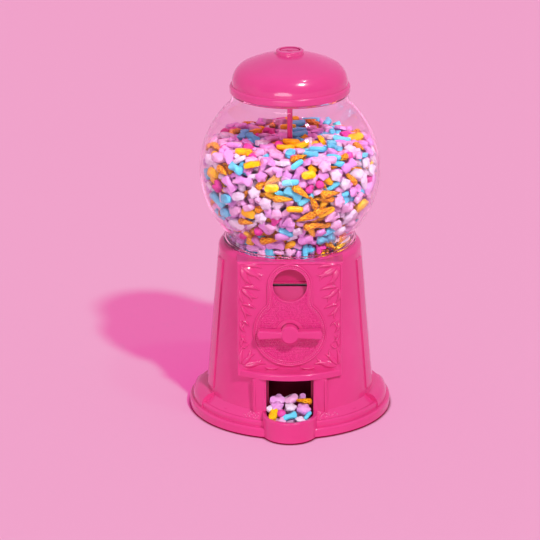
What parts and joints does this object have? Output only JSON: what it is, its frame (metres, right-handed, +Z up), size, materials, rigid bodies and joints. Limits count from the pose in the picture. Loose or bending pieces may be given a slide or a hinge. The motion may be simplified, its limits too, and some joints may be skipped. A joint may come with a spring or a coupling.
{
  "type": "gumball machine",
  "caption": "Tabletop sweets dispenser: glass globe under a domed lid on a flared cast cabinet with a coin window, turning handle and front tray.",
  "frame": {"origin": "on the axis of the globe and cabinet, on the surface that the machine stands on", "axes": "+Z up along the tie rod, -Y towards the front with the handle and tray, +X to the viewer's right"},
  "size_m": [0.1548, 0.165, 0.2807],
  "materials": {
    "pink_paint": "gloss pink enamel",
    "steel": "zinc-plated",
    "white_plastic": "moulded",
    "dark_plastic": "moulded, dark",
    "bush_brass": "turned",
    "rubber": "matt",
    "globe_glass": "clear, polished",
    "candy": "pressed sugar"
  },
  "bodies": {
    "cabinet": {"body_shell": "pink_paint", "front_plate": "pink_paint", "coin_slot_upper": "pink_paint", "coin_slot_lower": "pink_paint", "tie_rod": "pink_paint", "base_screws": "steel", "panel_screws": "steel", "coin_chute_screws": "steel", "hopper_screws": "steel", "yoke_screws": "steel", "chute_screws": "steel", "tie_rod_nut": "steel", "pawl_post": "steel", "drive_yoke": "steel", "bottom_plate": "steel", "coin_chute": "steel", "hopper": "white_plastic", "drop_shield": "white_plastic", "chute": "dark_plastic", "shaft_bush": "bush_brass", "yoke_bush": "bush_brass", "rubber_feet": "rubber", "globe_gasket": "rubber", "globe": "globe_glass", "candy_fill": "candy", "tray_candy": "candy"},
    "handle_drive": {"turn_handle": "pink_paint", "drive_shaft": "steel", "coin_carrier": "steel", "ratchet_wheel": "steel", "shaft_collar": "steel", "drive_pinion": "white_plastic"},
    "wheel_drive": {"dispensing_wheel": "white_plastic", "crown_gear": "white_plastic"},
    "pawl_arm": {"pawl": "steel"},
    "lid_cover": {"lid": "pink_paint"},
    "lid_lock": {"lid_nut": "pink_paint"}
  },
  "joints": [
    {"name": "handle_turn", "type": "hinge", "parent": "cabinet", "child": "handle_drive", "pos_m": [0, -0.053, 0.0773], "axis": [0, 1, 0], "continuous": true},
    {"name": "wheel_turn", "type": "hinge", "parent": "cabinet", "child": "wheel_drive", "pos_m": [0, 0, 0.098], "axis": [0, 0, 1], "continuous": true},
    {"name": "pawl_lift", "type": "hinge", "parent": "cabinet", "child": "pawl_arm", "pos_m": [0.02034, -0.042, 0.09032], "axis": [0, 1, 0], "range_deg": [0, 18]},
    {"name": "lid_lift", "type": "slide", "parent": "cabinet", "child": "lid_cover", "axis": [0, 0, 1], "range_m": [0, 0.06]},
    {"name": "lid_nut_turn", "type": "hinge", "parent": "lid_cover", "child": "lid_lock", "pos_m": [0, 0, 0.277], "axis": [0, 0, 1], "continuous": true}
  ],
  "couplings": [
    {"joint": "wheel_turn", "follows": "handle_turn", "ratio": 0.5}
  ]
}
